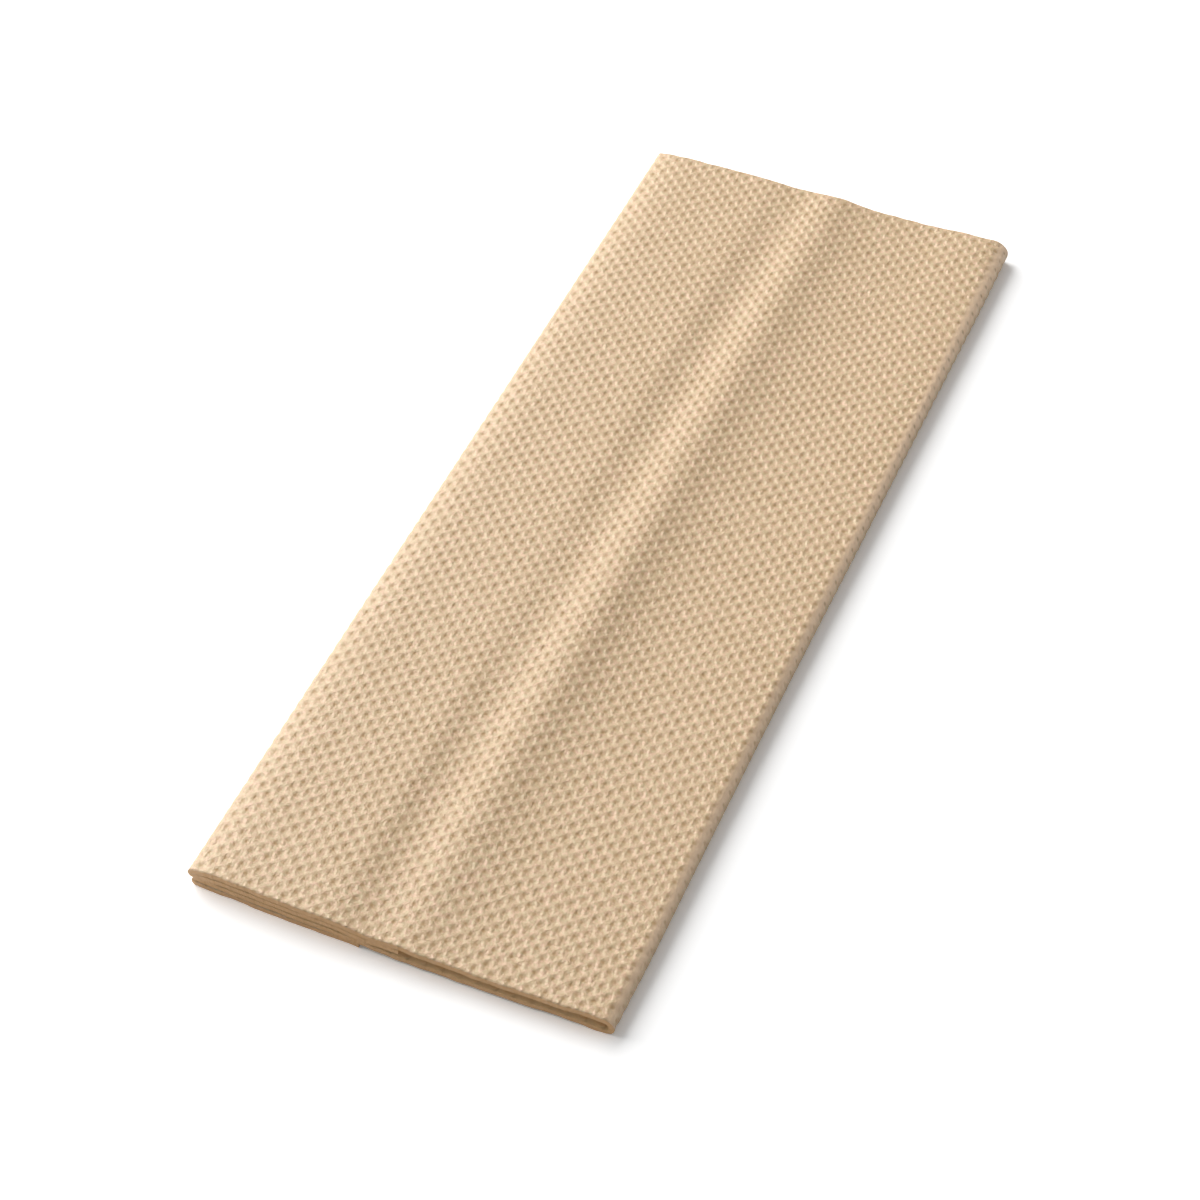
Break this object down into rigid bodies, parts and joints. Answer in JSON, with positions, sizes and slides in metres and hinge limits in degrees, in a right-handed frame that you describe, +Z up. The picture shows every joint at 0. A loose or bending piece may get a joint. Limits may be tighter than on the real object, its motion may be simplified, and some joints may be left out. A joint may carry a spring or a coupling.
{
  "type": "multifold paper towel",
  "caption": "Single embossed brown paper hand towel, folded into a flat rectangle of overlapping panels with creased long sides and plain cut ends.",
  "frame": {"origin": "on the surface the towel lies on, under the middle of its outline", "axes": "+Z up from the surface through the panels, +Y along the creases towards the slightly wider cut end, +X across the panels towards the single thick crease"},
  "size_m": [0.0896, 0.236, 0.0062],
  "materials": {
    "towel_paper": "matt soft unbleached tissue, embossed all over with small staggered pits"
  },
  "bodies": {
    "root": {"folded_towel": "towel_paper"}
  },
  "joints": []
}
